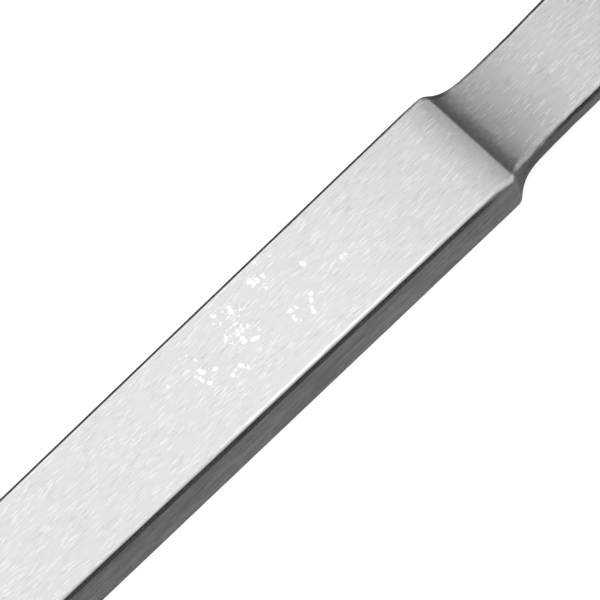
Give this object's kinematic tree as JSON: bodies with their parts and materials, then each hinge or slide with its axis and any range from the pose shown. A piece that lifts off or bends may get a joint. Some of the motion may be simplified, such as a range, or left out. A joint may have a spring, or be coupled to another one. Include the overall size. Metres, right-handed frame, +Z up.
{
  "type": "periosteal elevator",
  "caption": "Flat-handled periosteal elevator: a tapered bar handle with a coved shoulder, a thin neck and a broad, upswept blade with a rounded bevelled edge for lifting tissue off bone.",
  "frame": {"origin": "middle of the overall box, on the plane of the handle's flat underside that the instrument lies on", "axes": "+X from the butt of the handle to the blade's working edge, +Z up out of the broad upper face, +Y across the handle"},
  "size_m": [0.1906, 0.019, 0.0084],
  "materials": {
    "steel": "satin, brushed along the instrument, with a few fine scuffs"
  },
  "bodies": {
    "root": {"periosteal_elevator": "steel"}
  },
  "joints": []
}
